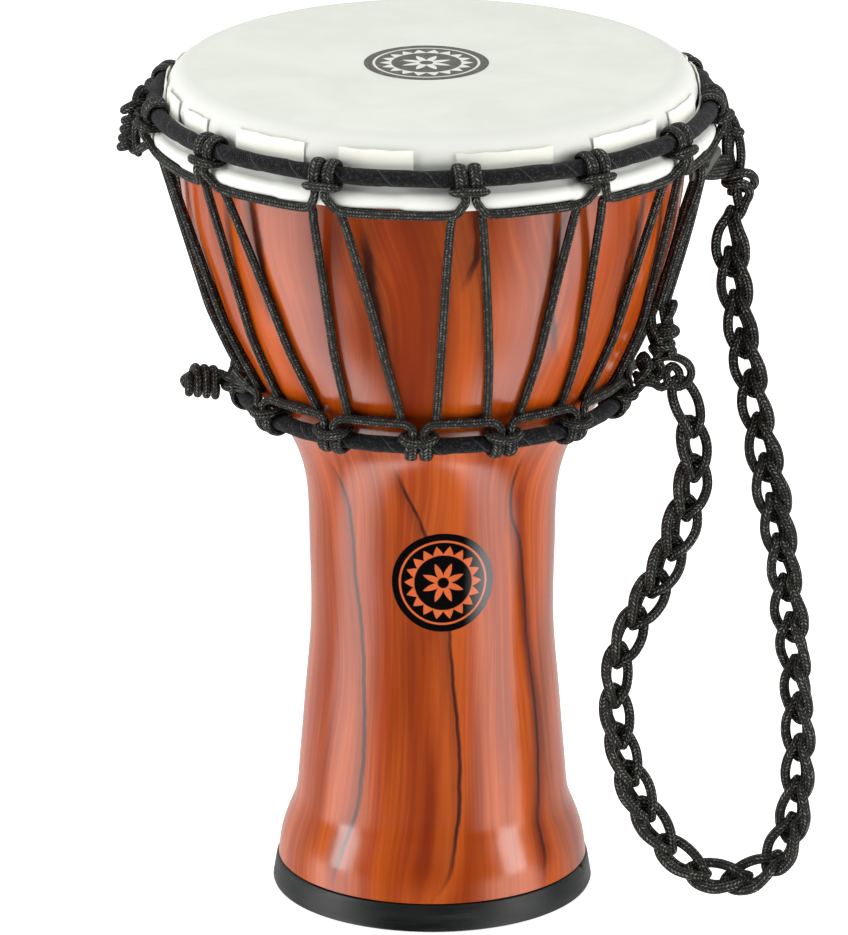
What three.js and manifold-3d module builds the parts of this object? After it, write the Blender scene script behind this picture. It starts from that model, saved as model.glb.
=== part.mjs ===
// A rope-tuned djembe with a synthetic head: goblet shell, film head on a flesh hoop, crown and
// base rings wrapped in fabric tape, two cradle ropes tied in cow hitches, the lacing between them,
// and a carrying strap knotted as a chain. Millimetres, +Z up, origin on the drum's axis at the floor.
import * as THREE from "three";
import { mergeVertices } from "three/addons/utils/BufferGeometryUtils.js";
import Module from "manifold-3d";

const wasm = await Module();
wasm.setup();

// Driving dimensions.
const HEAD_TOP = 291; // playing surface above the floor
const GAP = 0.3; // clearance kept between pieces that touch
const FACETS = 40; // segments round the drum
const BASE_FACETS = 32; // segments round the base ring

// Shell: outer radius and height, from the foot up to the collar under the head.
const SHELL_WALL = 4;
const SHELL_BOTTOM = 3.2;
const SPIGOT = { radius: 51.5, top: 9.9 };
const SHELL_OUTLINE = [
  [52.9, 9.9],
  [51.7, 18],
  [49.4, 25],
  [46.9, 31.5],
  [45.4, 46],
  [43.6, 68],
  [41.5, 95],
  [41.8, 120],
  [43.3, 148],
  [48.5, 163],
  [58.2, 177],
  [68.2, 195.5],
  [74.6, 210],
  [78.8, 224.5],
  [82.3, 237.5],
  [84.3, 248],
  [86, 266],
  [86.7, 278],
];
const SHELL_EDGE = 86.9; // narrower than the film's collar, so that the head lifts off
const INNER_HEIGHTS = [9.9, 18, 31.5, 68, 95, 148, 163, 177, 210, 248, 278];

// Head: film thickness, flat radius and the radius of its roll over the bearing edge.
const FILM = 0.65;
const FLAT_RADIUS = 80.5;
const ROLL_RADIUS = 8.6;
const HOOP = { radius: 92.2, height: 270.8, rod: 2.0 };

// Rings: centreline radius, height, steel rod radius and radius over the fabric wrap.
const CROWN = { radius: 93.5, height: 278.8, rod: 1.9, wrapped: 2.9 };
const BASE = { radius: 63.8, height: 177.4, rod: 1.9, wrapped: 2.9 };

// Foot ring.
const FOOT = { inner: 47, bottom: 54.8, top: 53.4, height: 9.5 };

// Rope, and the angles of the hand-tied hitches in degrees: 0 faces -Y, positive towards +X.
const ROPE = 1.4;
const ROPE_SIDES = 5;
const CROWN_HITCHES = [-79, -51, -22, 7, 34, 59, 85, 113, 141, 169, 197, 225, 253];
const BASE_HITCHES = [-84, -57, -30.5, -4, 21, 46, 75, 103, 131, 159, 187, 214, 245];
const CROWN_CORNER = 3.7; // degrees from a hitch to the end of its swag
const BASE_CORNER = 5.4;

// Strap chain: its width and its route, from the knot under the crown ring round to the base.
const CHAIN = 6.2;
const CHAIN_SIDES = 10;
const CHAIN_STEPS = 26;
const CHAIN_ROUTE = [
  [102, -6, 245.5],
  [100.5, -7, 236],
  [101, -9, 225],
  [102.5, -11, 213],
  [104.5, -13, 201],
  [107.5, -16, 186.5],
  [111, -19, 168],
  [115, -23, 146.5],
  [119, -27, 123],
  [122.5, -30, 99],
  [124.5, -33, 76],
  [125, -35, 56],
  [123, -37, 34],
  [118, -37, 21],
  [109, -37, 13.5],
  [99, -37, 12.5],
  [89, -37, 16],
  [80, -36, 24],
  [72, -34.5, 37],
  [65, -33, 55],
  [61.5, -31, 74],
  [62, -29, 88],
  [66.5, -28, 100],
  [73, -27, 112],
  [79.5, -26, 125],
  [84.5, -25, 139],
  [87.5, -24, 153],
  [87, -24, 168],
  [84, -24, 182],
];

// Knots: centre, radius and length.
const TIE_OFF = { angle: -90, radius: 101.6, height: 269, thick: 3.9, length: 17 };
const END_KNOT = { x: -77.6, y: -5, z: 181, thick: 6.3, length: 10.6 };
const STRAP_KNOT = { x: 102.8, y: -6, z: 251.8, thick: 5.7 };
const STRAP_TIE = 2.6; // radius of the doubled rope that hangs the strap on the crown ring
const TAIL_KNOTS = [
  [79.4, -25, 210.5],
  [82, -25, 203.2],
];
const TAIL_KNOT_RADIUS = 4.8;
const LOWER_KNOT = { x: 79.2, y: -23, z: 190.4, thick: 5.3 };
const BADGE = { angle: 5.7, height: 121.5, radius: 17.6, thick: 0.5, lift: 0.45 };

const COLOURS = {
  shell: [0xc9683a, 0.22, 0],
  film: [0xe8eae2, 0.5, 0],
  steel: [0x8c8f92, 0.35, 1],
  fabric: [0x1c1d20, 0.85, 0],
  rope: [0x161616, 0.7, 0],
  rubber: [0x1a1a1b, 0.45, 0],
  badge: [0x0c0c0d, 0.2, 0],
};

const rad = THREE.MathUtils.degToRad;

// A point at an angle, radius and height.
function polar(angle, radius, height) {
  const a = rad(angle);
  return new THREE.Vector3(radius * Math.sin(a), -radius * Math.cos(a), height);
}

// A curve whose evenly spaced parameters are its own points, so that each extrusion step is one.
class RopePath extends THREE.Curve {
  constructor(points) {
    super();
    this.points = points;
  }
  getPoint(t, target = new THREE.Vector3()) {
    const last = this.points.length - 1;
    const at = Math.min(Math.max(t, 0), 1) * last;
    const i = Math.min(Math.floor(at + 1e-6), last - 1);
    return target.copy(this.points[i]).lerp(this.points[i + 1], at - i);
  }
  getPointAt(u, target) {
    return this.getPoint(u, target);
  }
  getTangentAt(u, target = new THREE.Vector3()) {
    const last = this.points.length - 1;
    const i = Math.round(u * last);
    const before = this.points[Math.max(i - 1, 0)];
    const after = this.points[Math.min(i + 1, last)];
    return target.copy(after).sub(before).normalize();
  }
}

function circle(radius, sides) {
  const shape = new THREE.Shape();
  for (let i = 0; i < sides; i++) {
    const a = (2 * Math.PI * i) / sides;
    const p = [radius * Math.cos(a), radius * Math.sin(a)];
    if (i === 0) shape.moveTo(...p);
    else shape.lineTo(...p);
  }
  shape.closePath();
  return shape;
}

function tube(points, radius, sides) {
  return new THREE.ExtrudeGeometry(circle(radius, sides), {
    extrudePath: new RopePath(points),
    steps: points.length - 1,
    bevelEnabled: false,
  });
}

// Revolves an outline of [radius, height] points round Z; it closes on itself or on the axis.
function revolve(outline, segments = FACETS) {
  const points = outline.map(([r, z]) => new THREE.Vector2(r, z));
  if (outline[0][0] > 0) points.push(points[0].clone());
  return new THREE.LatheGeometry(points, segments).rotateX(Math.PI / 2);
}

// The outline of a bent strip: its centreline offset by half its thickness on both sides.
function strip(line, thickness) {
  const side = (sign) =>
    line.map(([r, z], i) => {
      const [r0, z0] = line[Math.max(i - 1, 0)];
      const [r1, z1] = line[Math.min(i + 1, line.length - 1)];
      const length = Math.hypot(r1 - r0, z1 - z0);
      const k = (sign * thickness) / (2 * length);
      return [Math.max(r - k * (z1 - z0), 0), z + k * (r1 - r0)];
    });
  return [...side(-1), ...side(1).reverse()];
}

// Points on an arc in the radius-height plane; angles in degrees from the outward direction.
function arc(centre, radius, from, to, steps) {
  return Array.from({ length: steps + 1 }, (_, i) => {
    const a = rad(from + ((to - from) * i) / steps);
    return [centre[0] + radius * Math.cos(a), centre[1] + radius * Math.sin(a)];
  });
}

// manifold-3d solids and back.
function toSolid(geometry) {
  const bare = geometry.index ? geometry.toNonIndexed() : geometry.clone();
  bare.deleteAttribute("normal");
  bare.deleteAttribute("uv");
  const merged = mergeVertices(bare, 1e-3);
  return new wasm.Manifold(
    new wasm.Mesh({
      numProp: 3,
      vertProperties: merged.attributes.position.array,
      triVerts: new Uint32Array(merged.index.array),
    }),
  );
}

function toGeometry(solid) {
  const { numProp, vertProperties, triVerts } = solid.getMesh();
  const count = vertProperties.length / numProp;
  const position = new Float32Array(count * 3);
  for (let i = 0; i < count; i++) {
    position.set(vertProperties.subarray(i * numProp, i * numProp + 3), i * 3);
  }
  const geometry = new THREE.BufferGeometry();
  geometry.setAttribute("position", new THREE.BufferAttribute(position, 3));
  geometry.setIndex(new THREE.BufferAttribute(triVerts, 1));
  geometry.computeVertexNormals();
  return geometry;
}

function join(...geometries) {
  const solids = geometries.map(toSolid);
  return toGeometry(solids.reduce((all, next) => all.add(next)));
}

const drum = new THREE.Group();

function addPiece(name, geometry, look, parent = drum) {
  const [color, roughness, metalness] = COLOURS[look];
  const material = new THREE.MeshStandardMaterial({ color, roughness, metalness });
  const mesh = new THREE.Mesh(geometry, material);
  mesh.name = name;
  parent.add(mesh);
  return mesh;
}

// The shell's outer radius at a height.
function shellRadius(height) {
  const i = Math.max(
    1,
    SHELL_OUTLINE.findIndex(([, z]) => z >= height),
  );
  const [r0, z0] = SHELL_OUTLINE[i - 1];
  const [r1, z1] = SHELL_OUTLINE[i];
  return r0 + ((r1 - r0) * (height - z0)) / (z1 - z0);
}

// Goblet shell: spigot in the foot ring, stem, bowl, and a rounded bearing edge under the film.
function shellGeometry() {
  const edgeRadius = ROLL_RADIUS - FILM - GAP;
  const edgeCentre = [SHELL_EDGE - edgeRadius, HEAD_TOP - ROLL_RADIUS];
  const inner = INNER_HEIGHTS.map((z) => [shellRadius(z) - SHELL_WALL, z]);
  const outline = [
    [SPIGOT.radius - SHELL_WALL, SHELL_BOTTOM],
    [SPIGOT.radius, SHELL_BOTTOM],
    [SPIGOT.radius, SPIGOT.top],
    ...SHELL_OUTLINE,
    ...arc(edgeCentre, edgeRadius, 0, 90, 3),
    [edgeCentre[0] - 2.5, HEAD_TOP - FILM - GAP],
    ...inner.reverse(),
  ];
  return revolve(outline);
}

// The film: flat top, roll over the bearing edge, collar, and the turn round the flesh hoop.
function headGeometry() {
  const middle = HEAD_TOP - FILM / 2;
  const line = [
    [0, middle],
    ...arc([FLAT_RADIUS, HEAD_TOP - ROLL_RADIUS], ROLL_RADIUS - FILM / 2, 90, 0, 3),
    [87.6, 278.6],
    [87.5, 275.6],
    ...arc([HOOP.radius, HOOP.height], HOOP.rod + GAP + FILM / 2, 190, 440, 5),
  ];
  return revolve(strip(line, FILM));
}

function ringGeometry({ radius, height, rod }, segments = FACETS) {
  const sides = 5;
  return revolve(arc([radius, height], rod, 0, 360, sides).slice(0, sides), segments);
}

// Fabric tape round a ring rod, open along a narrow slit on the inner side.
function wrapGeometry(ring, segments = FACETS) {
  const thickness = ring.wrapped - ring.rod - GAP;
  const line = arc([ring.radius, ring.height], ring.rod + GAP + thickness / 2, -170, 170, 6);
  return revolve(strip(line, thickness), segments);
}

function footGeometry() {
  const lip = SPIGOT.radius + GAP;
  const shelf = SHELL_BOTTOM - GAP;
  return revolve([
    [FOOT.inner, 0],
    [FOOT.bottom - 0.6, 0],
    [FOOT.bottom, 0.8],
    [FOOT.top, FOOT.height - 0.5],
    [FOOT.top - 0.4, FOOT.height],
    [lip, FOOT.height],
    [lip, shelf],
    [FOOT.inner, shelf],
  ]);
}

// Half of a cow hitch as [tangential, outward, upward] offsets from a ring's centreline: the leg
// rises under the bar, goes round the ring and comes back out to be the bar across both legs.
function halfHitch(leg, upward) {
  const reach = CROWN.wrapped + 0.6 + ROPE;
  const turns = [-40, 13, 66, 119, 172, 226].map((angle, i) => {
    const a = rad(angle);
    const slip = 1.65 + 0.05 * i * i;
    return [-slip, reach * Math.cos(a), reach * Math.sin(a)];
  });
  const bar = [
    [-3.8, 0.3, -4.3],
    [-4.2, 4.4, -5.2],
  ];
  return [...leg, ...turns, ...bar].map(([u, n, z]) => [u, n, upward * z]);
}

const CROWN_LEG = [
  [-8, 1.1, -12],
  [-5, 1.9, -11.3],
  [-2.3, 4.3, -8.4],
];
const BASE_LEG = [
  [-8, 1.9, -8.6],
  [-4.9, 2.3, -8.5],
  [-2.2, 3.5, -7.6],
];

function hitchPoints(ring, angle, half) {
  const front = [0, 5.9, Math.sign(half[0][2]) * 4.9];
  const whole = [...half, front, ...half.map(([u, n, z]) => [-u, n, z]).reverse()];
  return whole.map(([u, n, z]) => {
    const radius = ring.radius + n;
    return polar(angle + THREE.MathUtils.radToDeg(u / radius), radius, ring.height + z);
  });
}

// A cradle rope: a cow hitch at each angle, with one swag from each hitch to the next.
function cradlePoints(ring, hitches, half) {
  const [, swagOut, swagUp] = half[0];
  const swag = (angle) => polar(angle, ring.radius + swagOut, ring.height + swagUp);
  const closing = (hitches[0] + 360 - hitches.at(-1)) / 2;
  const points = [swag(hitches[0] - closing + 3)];
  hitches.forEach((angle, i) => {
    points.push(...hitchPoints(ring, angle, half));
    if (i < hitches.length - 1) points.push(swag((angle + hitches[i + 1]) / 2));
  });
  points.push(swag(hitches.at(-1) + closing - 3));
  return points;
}

// Flattens a rope where it is pinched: no vertex comes nearer to a ring or to a wall than its gap.
function press(geometry, rings, wallRadius) {
  const position = geometry.attributes.position;
  for (let i = 0; i < position.count; i++) {
    const [x, y] = [position.getX(i), position.getY(i)];
    const flat = Math.hypot(x, y);
    let [r, z] = [flat, position.getZ(i)];
    for (const { radius, height, keep } of rings) {
      const [dr, dz] = [r - radius, z - height];
      const distance = Math.hypot(dr, dz);
      if (distance < keep) {
        r = radius + (dr * keep) / distance;
        z = height + (dz * keep) / distance;
      }
    }
    r = Math.max(r, wallRadius(z));
    position.setXYZ(i, (x * r) / flat, (y * r) / flat, z);
  }
  return geometry;
}

// The least radius a rope may have at a height beside the film's collar.
function filmWall(height) {
  if (height < 272) return 0;
  return height < 279.6 ? 88.4 : 89.5;
}

function crownCradleGeometry() {
  const half = halfHitch(CROWN_LEG, 1);
  const rope = tube(cradlePoints(CROWN, CROWN_HITCHES, half), ROPE, ROPE_SIDES);
  const rim = HOOP.rod + GAP + FILM;
  const rings = [
    { ...HOOP, keep: rim + GAP },
    { ...CROWN, keep: CROWN.wrapped + 0.5 },
  ];
  return press(rope, rings, filmWall);
}

function baseCradleGeometry() {
  const half = halfHitch(BASE_LEG, -1);
  const rope = tube(cradlePoints(BASE, BASE_HITCHES, half), ROPE, ROPE_SIDES);
  const rings = [{ ...BASE, keep: BASE.wrapped + 0.5 }];
  return press(rope, rings, (z) => shellRadius(z) + 0.45);
}

// The lacing: down one side of each crown hitch, along a base swag, up again, and along the
// crown swag to the next hitch.
function lacingPoints() {
  const topRun = [91.3, 266];
  const baseRun = [67.2, 189.6];
  const heights = [260, 240, 221, 203];
  const onShell = (z) => shellRadius(z) + ROPE + 1;
  const vertical = (top, base) =>
    heights.map((z, i) => {
      const angle = top + ((base - top) * (i + 0.5)) / heights.length;
      return polar(angle, onShell(z), z);
    });
  const count = CROWN_HITCHES.length;
  const points = [];
  CROWN_HITCHES.forEach((hitch, i) => {
    const nextBase = i + 1 < count ? BASE_HITCHES[i + 1] : BASE_HITCHES[0] + 360;
    const down = [hitch - CROWN_CORNER, BASE_HITCHES[i] + BASE_CORNER];
    const up = [hitch + CROWN_CORNER, nextBase - BASE_CORNER];
    points.push(polar(down[0], ...topRun), ...vertical(...down), polar(down[1], ...baseRun));
    points.push(polar((down[1] + up[1]) / 2, ...baseRun));
    points.push(polar(up[1], ...baseRun), ...vertical(...up).reverse(), polar(up[0], ...topRun));
    if (i + 1 < count) {
      const nextDown = CROWN_HITCHES[i + 1] - CROWN_CORNER;
      points.push(polar((2 * up[0] + nextDown) / 3, ...topRun));
      points.push(polar((up[0] + 2 * nextDown) / 3, ...topRun));
    }
  });
  return points;
}

// The lacing's spare end, doubled down the right side from the crown swag to its knots.
function tailPoints() {
  return [
    [78.2, -26.5, 216.6],
    [84.4, -28.3, 240],
    [88.6, -29.9, 260.5],
    [89.3, -28.6, 263.6],
    [90.1, -26.2, 263.6],
    [90.2, -24.8, 260.5],
    [86.2, -23.9, 240],
    [80.2, -23.1, 216.6],
  ].map((p) => new THREE.Vector3(...p));
}

// A barrel of rope turns round X or Z, with one ridge for each turn.
function turnsGeometry({ thick, length }, turns) {
  const outline = [[0, -length / 2]];
  for (let i = 0; i < turns; i++) {
    const from = -length / 2 + (i * length) / turns;
    outline.push([thick * 0.82, from + 0.01]);
    outline.push([thick, from + (0.3 * length) / turns], [thick, from + (0.7 * length) / turns]);
  }
  outline.push([thick * 0.82, length / 2 - 0.01], [0, length / 2]);
  return revolve(outline, 12);
}

function ball(radius, x, y, z) {
  return new THREE.IcosahedronGeometry(radius, 1).translate(x, y, z);
}

function strapKnotGeometry() {
  const { x, y, z, thick } = STRAP_KNOT;
  const overRing = [
    [92.4, 285],
    [97.7, 283.7],
    [100.7, 277.5],
    [102.3, 266],
  ].map(([r, height], i) => polar(93 - i / 3, r, height));
  const tie = tube([...overRing, new THREE.Vector3(x, y, z)], STRAP_TIE, 8);
  return join(ball(thick, x, y, z), tie);
}

function lowerKnotGeometry() {
  const { x, y, z, thick } = LOWER_KNOT;
  const stub = [new THREE.Vector3(x, y, z), new THREE.Vector3(70.2, -19, 185.4)];
  return join(ball(thick, x, y, z), tube(stub, 2.6, 8));
}

// A round sticker that follows the stem.
function badgeGeometry() {
  const { angle, height, radius, thick, lift } = BADGE;
  const outline = circle(radius, 20);
  const disc = new THREE.ExtrudeGeometry(outline, { depth: thick, steps: 1, bevelEnabled: false });
  const bands = toSolid(disc).refineToLength(9);
  const geometry = toGeometry(bands);
  const position = geometry.attributes.position;
  for (let i = 0; i < position.count; i++) {
    const [x, y, depth] = [position.getX(i), position.getY(i), position.getZ(i)];
    const surface = shellRadius(height + y) + lift + depth;
    const at = polar(angle + THREE.MathUtils.radToDeg(x / surface), surface, height + y);
    position.setXYZ(i, at.x, at.y, at.z);
  }
  return geometry;
}

function addShellAndFoot() {
  addPiece("shell", shellGeometry(), "shell");
  addPiece("foot_ring", footGeometry(), "rubber");
  addPiece("shell_badge", badgeGeometry(), "badge");
}

function addHead() {
  addPiece("drumhead_film", headGeometry(), "film");
  addPiece("flesh_hoop", ringGeometry(HOOP), "steel");
  addPiece("crown_ring", ringGeometry(CROWN), "steel");
  addPiece("crown_ring_wrap", wrapGeometry(CROWN), "fabric");
}

function addBaseRing() {
  addPiece("base_ring", ringGeometry(BASE, BASE_FACETS), "steel");
  addPiece("base_ring_wrap", wrapGeometry(BASE, BASE_FACETS), "fabric");
}

function addRopes() {
  addPiece("crown_cradle_rope", crownCradleGeometry(), "rope");
  addPiece("base_cradle_rope", baseCradleGeometry(), "rope");
  addPiece("lacing_rope", tube(lacingPoints(), ROPE, ROPE_SIDES), "rope");
  addPiece("lacing_tail_rope", tube(tailPoints(), ROPE - 0.1, 6), "rope");
  const knots = TAIL_KNOTS.map((at) => ball(TAIL_KNOT_RADIUS, ...at));
  addPiece("lacing_tail_knot", join(...knots), "rope");
  const tieOff = addPiece("cradle_tie_off_knot", turnsGeometry(TIE_OFF, 4), "rope");
  tieOff.position.copy(polar(TIE_OFF.angle, TIE_OFF.radius, TIE_OFF.height));
  const end = addPiece("lacing_end_knot", turnsGeometry(END_KNOT, 3), "rope");
  end.position.set(END_KNOT.x, END_KNOT.y, END_KNOT.z);
  end.rotation.y = Math.PI / 2;
}

function addStrap() {
  addPiece("strap_upper_knot", strapKnotGeometry(), "rope");
  const route = new THREE.CatmullRomCurve3(CHAIN_ROUTE.map((p) => new THREE.Vector3(...p)));
  const points = route.getSpacedPoints(CHAIN_STEPS);
  addPiece("strap_chain", tube(points, CHAIN, CHAIN_SIDES), "rope");
  addPiece("strap_lower_knot", lowerKnotGeometry(), "rope");
}

addShellAndFoot();
addHead();
addBaseRing();
addRopes();
addStrap();

export default drum;
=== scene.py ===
"""The looks of a rope-tuned djembe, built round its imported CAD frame.

Lengths are millimetres unless a name says otherwise, and angles round the drum are degrees:
0 faces -Y and positive turns towards +X. MM turns millimetres into Blender's metres.
"""
import math

import bpy
import numpy as np
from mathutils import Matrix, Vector


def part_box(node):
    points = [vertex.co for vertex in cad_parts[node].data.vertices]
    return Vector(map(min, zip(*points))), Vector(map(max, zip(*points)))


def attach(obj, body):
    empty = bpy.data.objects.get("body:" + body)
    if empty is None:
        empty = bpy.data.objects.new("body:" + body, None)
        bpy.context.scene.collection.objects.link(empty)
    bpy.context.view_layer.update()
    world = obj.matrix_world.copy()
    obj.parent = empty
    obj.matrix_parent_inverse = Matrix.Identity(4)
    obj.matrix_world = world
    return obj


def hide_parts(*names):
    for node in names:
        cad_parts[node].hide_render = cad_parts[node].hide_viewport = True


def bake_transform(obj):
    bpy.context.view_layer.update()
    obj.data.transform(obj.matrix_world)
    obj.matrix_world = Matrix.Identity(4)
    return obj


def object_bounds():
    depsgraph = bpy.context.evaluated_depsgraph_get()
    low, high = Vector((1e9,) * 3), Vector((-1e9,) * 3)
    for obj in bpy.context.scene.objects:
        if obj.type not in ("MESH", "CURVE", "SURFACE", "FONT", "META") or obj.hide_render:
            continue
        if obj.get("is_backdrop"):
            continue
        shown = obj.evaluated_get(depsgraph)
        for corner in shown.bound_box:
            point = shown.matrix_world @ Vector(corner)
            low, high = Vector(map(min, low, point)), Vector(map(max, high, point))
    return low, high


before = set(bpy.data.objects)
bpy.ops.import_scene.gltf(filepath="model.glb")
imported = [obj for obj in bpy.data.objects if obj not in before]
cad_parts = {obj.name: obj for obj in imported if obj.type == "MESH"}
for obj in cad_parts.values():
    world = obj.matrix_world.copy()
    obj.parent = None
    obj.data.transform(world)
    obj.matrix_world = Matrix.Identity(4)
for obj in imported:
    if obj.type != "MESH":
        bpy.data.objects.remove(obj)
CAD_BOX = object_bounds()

MM = 0.001

# ---------------------------------------------------------------- camera

CAMERA_AT = (-2.8, -2843.2, 1105.8)
CAMERA_PITCH = 18.61
CAMERA_LENS = 339.7


def make_camera():
    data = bpy.data.cameras.new("camera")
    data.lens = CAMERA_LENS
    data.sensor_width = 36
    data.clip_end = 50
    camera = bpy.data.objects.new("camera", data)
    camera.location = Vector(CAMERA_AT) * MM
    camera.rotation_euler = (math.radians(90 - CAMERA_PITCH), 0, 0)
    bpy.context.scene.collection.objects.link(camera)
    bpy.context.scene.camera = camera


make_camera()

# ---------------------------------------------------------------- places taken from the frame

ROPE = 1.5  # radius of the braided rope
LOOSE_ROPE = 1.6  # and where it is knotted loosely
TAPE_RADIUS = 2.9  # radius of a ring with its tape


def middle(node):
    lo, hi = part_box(node)
    return np.array((lo + hi) / 2) / MM


def ring_of(node):
    """(centreline radius, height) of a taped ring."""
    lo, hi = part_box(node)
    return hi.x / MM - TAPE_RADIUS, (lo.z + hi.z) / 2 / MM


def shell_levels():
    """Heights of the CAD shell's rows of corners, with the least and greatest radius at each."""
    levels = {}
    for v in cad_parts["shell"].data.vertices:
        radius = math.hypot(v.co.x, v.co.y) / MM
        levels.setdefault(round(v.co.z / MM, 1), []).append(radius)
    return [(z, min(r), max(r)) for z, r in sorted(levels.items())]


CROWN = ring_of("crown_ring_wrap")
BASE = ring_of("base_ring_wrap")
HEAD_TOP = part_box("drumhead_film")[1].z / MM
LEVELS = shell_levels()
SPIGOT_TOP = 9.9
OUTSIDE = [(r, z) for z, _, r in LEVELS if z >= SPIGOT_TOP]


def shell_radius(z):
    return np.interp(z, [p[1] for p in OUTSIDE], [p[0] for p in OUTSIDE])


# ---------------------------------------------------------------- curves and meshes


def sine(degrees):
    return math.sin(math.radians(degrees))


def polar(angle, radius, z):
    a = math.radians(angle)
    return np.array((radius * math.sin(a), -radius * math.cos(a), z))


def unit(v):
    return v / np.maximum(np.linalg.norm(v, axis=-1, keepdims=True), 1e-12)


def lengths(line):
    """How far along a line each of its points is."""
    return np.concatenate([[0], np.cumsum(np.linalg.norm(np.diff(line, axis=0), axis=1))])


def squared(vectors, directions):
    """Unit vectors turned square to directions, each in its own plane with its direction."""
    return unit(vectors - directions * (vectors * directions).sum(1)[:, None])


def uv_grid(along, around):
    return np.stack(np.meshgrid(along, around, indexing="ij")[::-1], axis=-1)


def spaced(line, step):
    """The line again, with its points about step apart."""
    line = np.asarray(line, float)
    along = lengths(line)
    at = np.linspace(0, along[-1], max(2, math.ceil(along[-1] / step) + 1))
    return np.stack([np.interp(at, along, line[:, k]) for k in range(line.shape[1])], axis=1)


def smooth(points, step):
    """A centripetal Catmull-Rom curve through the points."""
    p = np.asarray(points, float)
    p = np.vstack([2 * p[0] - p[1], p, 2 * p[-1] - p[-2]])
    out = []
    for a, b, c, d in zip(p, p[1:], p[2:], p[3:]):
        t1 = np.linalg.norm(b - a) ** 0.5
        t2 = t1 + np.linalg.norm(c - b) ** 0.5
        t3 = t2 + np.linalg.norm(d - c) ** 0.5
        count = max(4, math.ceil(2 * np.linalg.norm(c - b) / step))
        t = np.linspace(t1, t2, count, endpoint=False)[:, None]
        ab = ((t1 - t) * a + t * b) / t1
        bc = ((t2 - t) * b + (t - t1) * c) / (t2 - t1)
        cd = ((t3 - t) * c + (t - t2) * d) / (t3 - t2)
        left = ((t2 - t) * ab + t * bc) / t2
        right = ((t3 - t) * bc + (t - t1) * cd) / (t3 - t1)
        out.append(((t2 - t) * left + (t - t1) * right) / (t2 - t1))
    out.append(p[-2][None])
    return spaced(np.vstack(out), step)


def grid(points, uv, closed_across, ends=()):
    """(corners, faces, UV) of rows of points; each row in ends is closed with a face."""
    rows, columns = points.shape[:2]
    index = np.arange(rows * columns).reshape(rows, columns)
    wide = columns if closed_across else columns - 1
    faces, coords = [], []
    for i in range(rows - 1):
        for j in range(wide):
            k = (j + 1) % columns
            faces.append((index[i, j], index[i, k], index[i + 1, k], index[i + 1, j]))
            coords += [uv[i, j], uv[i, j + 1], uv[i + 1, j + 1], uv[i + 1, j]]
    for row in ends:
        loop = index[row] if row else index[row][::-1]
        faces.append(tuple(loop))
        coords += [uv[row, 0]] * columns
    return points.reshape(-1, 3), faces, coords


def piece(name, parts, material, replaces=(), sharp=35, body=None):
    """Joins parts, each (corners, faces, uv), into one named object that rides on body."""
    corners, faces, coords, start = [], [], [], 0
    for points, some_faces, some_coords in parts:
        corners.append(points)
        faces += [tuple(int(i) + start for i in f) for f in some_faces]
        coords += [tuple(c) for c in some_coords]
        start += len(points)
    mesh = bpy.data.meshes.new(name)
    mesh.from_pydata((np.vstack(corners) * MM).tolist(), [], faces)
    layer = mesh.uv_layers.new(name="UVMap")
    layer.data.foreach_set("uv", np.array(coords, np.float32).ravel())
    mesh.shade_smooth()
    mesh.set_sharp_from_angle(angle=math.radians(sharp))
    mesh.materials.append(material)
    obj = bpy.data.objects.new(name, mesh)
    bpy.context.scene.collection.objects.link(obj)
    if replaces:
        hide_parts(*replaces)
    if body:
        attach(obj, body)
    return obj


def welded(points, uv):
    """The grid of rows of points whose last row is the first row again."""
    corners, faces, coords = grid(points, uv, True)
    last = (len(points) - 1) * points.shape[1]
    faces = [tuple(i - last if i >= last else i for i in f) for f in faces]
    return corners[:last], faces, coords


def lathe(outline, segments, closed=True, shape=None):
    """Revolves (radius, height) points; shape(angle, outline) may change them with the angle."""
    outline = np.asarray(outline, float)
    if closed:
        outline = np.vstack([outline, outline[:1]])
    along = lengths(outline)
    rows = []
    for i in range(segments):
        angle = 360 * i / segments
        profile = outline if shape is None else shape(angle, outline)
        a = math.radians(angle)
        radii, heights = profile.T
        rows.append(np.stack([radii * math.sin(a), -radii * math.cos(a), heights], axis=1))
    points = np.array(rows).transpose(1, 0, 2)
    uv = uv_grid(along, np.linspace(0, 360, segments + 1))
    return welded(points, uv) if closed else grid(points, uv, True)


def transported(line):
    """Unit tangents of a line and normals carried along it without twisting."""
    tangents = unit(np.gradient(line, axis=0))
    normals = np.zeros_like(line)
    seed = np.array((0.0, 0.0, 1.0)) if abs(tangents[0][2]) < 0.9 else np.array((1.0, 0.0, 0.0))
    normal = unit(seed - tangents[0] * (seed @ tangents[0]))
    for i, t in enumerate(tangents):
        normal = unit(normal - t * (normal @ t))
        normals[i] = normal
    return tangents, normals


def from_rings(points, rings):
    """Distance from the nearest ring's centreline to each point, and the direction away from it."""
    flat = np.hypot(points[:, 0], points[:, 1])
    outward = points[:, :2] / np.maximum(flat, 1e-9)[:, None]
    best, direction = np.full(len(points), np.inf), np.zeros_like(points)
    for radius, height in rings:
        dr, dz = flat - radius, points[:, 2] - height
        distance = np.maximum(np.hypot(dr, dz), 1e-9)
        near = distance < best
        away = np.column_stack([outward * (dr / distance)[:, None], dz / distance])
        best = np.where(near, distance, best)
        direction = np.where(near[:, None], away, direction)
    return best, direction


def kept_off(points, rings, wall, clear=0.05):
    """Pushes points out of the taped rings, and out of the wall, of radius wall(z) at height z."""
    points = points.copy()
    distance, away = from_rings(points, rings)
    push = np.clip(TAPE_RADIUS + clear - distance, 0, None)
    points += away * push[:, None]
    if wall is not None:
        flat = np.hypot(points[:, 0], points[:, 1])
        points[:, :2] *= (np.maximum(flat, wall(points[:, 2])) / flat)[:, None]
    return points


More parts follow.
